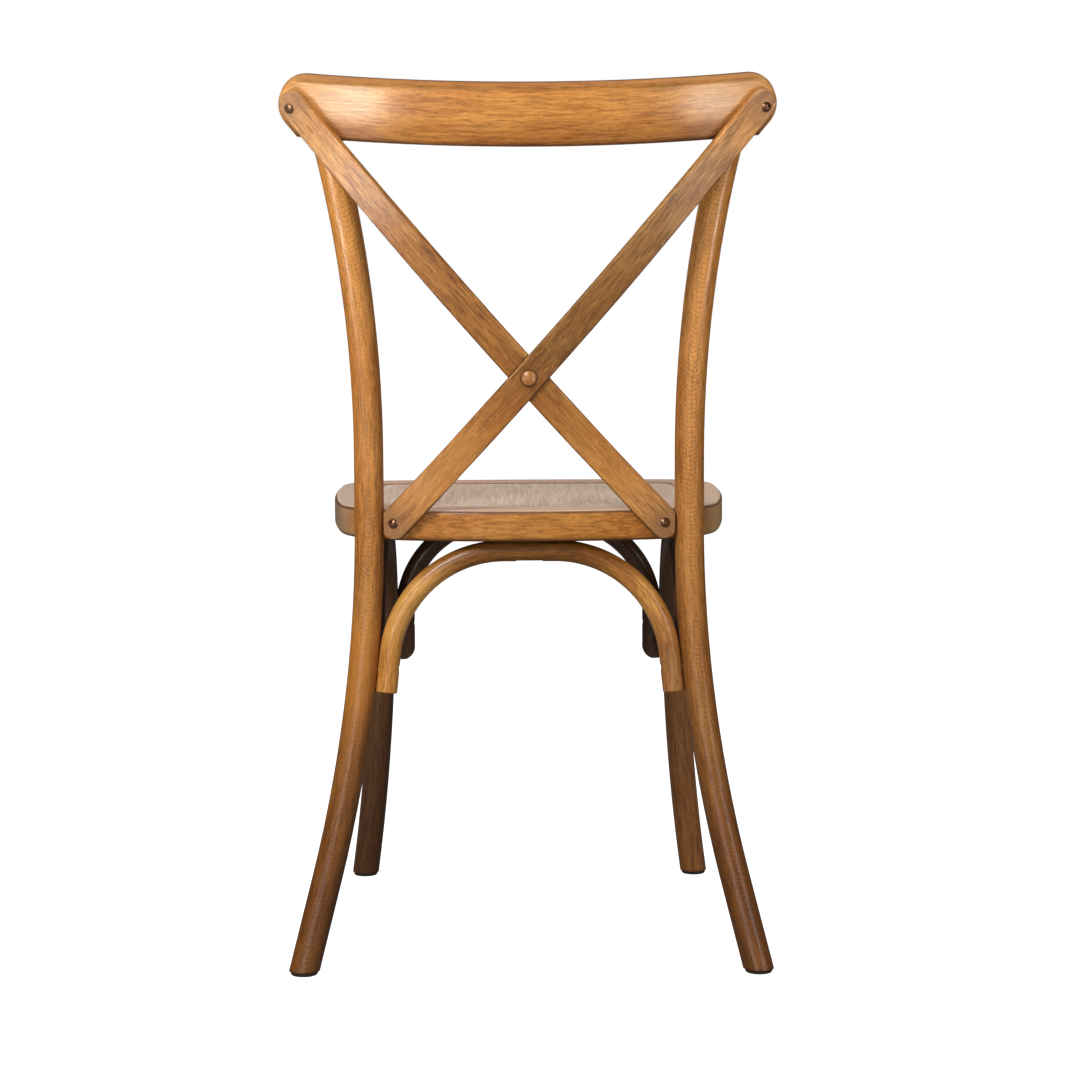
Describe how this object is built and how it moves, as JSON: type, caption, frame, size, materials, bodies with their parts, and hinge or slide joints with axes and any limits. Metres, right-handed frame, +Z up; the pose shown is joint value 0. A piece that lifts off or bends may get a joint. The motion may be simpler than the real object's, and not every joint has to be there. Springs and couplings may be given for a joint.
{
  "type": "cross back dining chair",
  "caption": "Bentwood dining chair with a curved crest rail, crossed back straps, a framed wooden seat and round hoops bracing the legs.",
  "frame": {"origin": "on the floor under the middle of the chair's bounding box", "axes": "+Z up from the floor; the sitter faces -Y and the back is at +Y; +X is the sitter's left hand, and X = 0 is the plane the chair is mirrored about"},
  "size_m": [0.489, 0.504, 0.8911],
  "materials": {
    "leg_wood": "satin, honey brown stain",
    "rail_wood": "satin, honey brown stain, grain along the rail",
    "strap_wood": "satin, honey brown stain, edges slightly worn",
    "seat_frame_wood": "satin, honey brown stain",
    "seat_panel_wood": "satin, grain from front to back",
    "hoop_wood": "satin, honey brown stain",
    "button_wood": "turned, lighter than the straps",
    "dowel_wood": "bare",
    "bronzed_screw": "dark bronze, slightly glossy",
    "zinc_steel": "zinc plated",
    "insert_brass": "machined",
    "glide_plastic": "dark, matt"
  },
  "bodies": {
    "root": {"crest_rail": "rail_wood", "cross_strap_inner": "strap_wood", "cross_strap_outer": "strap_wood", "crossing_bolt": "zinc_steel", "crossing_button": "button_wood", "crossing_nut": "button_wood", "foot_glide_front_left": "glide_plastic", "foot_glide_front_right": "glide_plastic", "foot_glide_rear_left": "glide_plastic", "foot_glide_rear_right": "glide_plastic", "front_leg_left": "leg_wood", "front_leg_right": "leg_wood", "glide_nails": "zinc_steel", "hoop_front": "hoop_wood", "hoop_left": "hoop_wood", "hoop_leg_screws": "zinc_steel", "hoop_rear": "hoop_wood", "hoop_right": "hoop_wood", "hoop_top_screws": "zinc_steel", "post_bolt_washers": "zinc_steel", "post_bolts": "zinc_steel", "post_inserts": "insert_brass", "rear_leg_left": "leg_wood", "rear_leg_right": "leg_wood", "seat_frame_dowels": "dowel_wood", "seat_panel": "seat_panel_wood", "seat_rail_front": "seat_frame_wood", "seat_rail_left": "seat_frame_wood", "seat_rail_rear": "seat_frame_wood", "seat_rail_right": "seat_frame_wood", "strap_foot_screws": "bronzed_screw", "strap_top_screws": "bronzed_screw"}
  },
  "joints": []
}
